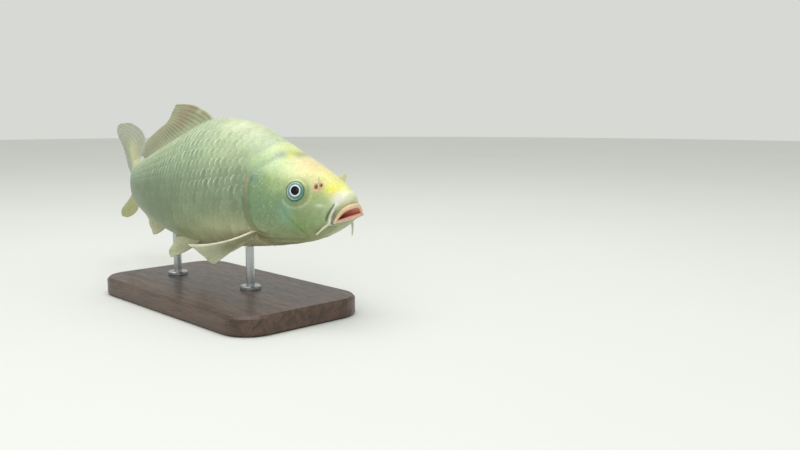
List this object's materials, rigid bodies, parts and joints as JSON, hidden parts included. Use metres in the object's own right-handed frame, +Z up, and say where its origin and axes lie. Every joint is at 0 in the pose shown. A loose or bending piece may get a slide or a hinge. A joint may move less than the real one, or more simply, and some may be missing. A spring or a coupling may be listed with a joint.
{
  "type": "koi carp",
  "caption": "Life-size koi carp with its tail curved away, held over a flat rounded base by two short rods.",
  "frame": {"origin": "centre of the flat underside of the stand's base", "axes": "+X towards the snout along the base, +Y to the fish's left, +Z up"},
  "size_m": [0.4193, 0.124, 0.1724],
  "materials": {
    "skin": "wet scaled skin, greenish cream with a yellow snout",
    "fin": "thin rayed fin, satin",
    "eye": "wet gloss",
    "stand_wood": "dark satin",
    "stand_steel": "brushed"
  },
  "bodies": {
    "root": {"head": "skin", "lower_jaw": "skin", "gill_cover_left": "skin", "gill_cover_right": "skin", "trunk_front": "skin", "trunk_rear": "skin", "tail_stalk": "skin", "nostril_flap_left": "skin", "nostril_flap_right": "skin", "barbel_lower_left": "skin", "barbel_lower_right": "skin", "barbel_upper_left": "skin", "barbel_upper_right": "skin", "dorsal_fin": "fin", "anal_fin": "fin", "caudal_fin_upper": "fin", "caudal_fin_lower": "fin", "pectoral_fin_left": "fin", "pectoral_fin_right": "fin", "pelvic_fin_left": "fin", "pelvic_fin_right": "fin", "eye_left": "eye", "eye_right": "eye", "stand_base": "stand_wood", "stand_rod_front": "stand_steel", "stand_rod_rear": "stand_steel"}
  },
  "joints": []
}
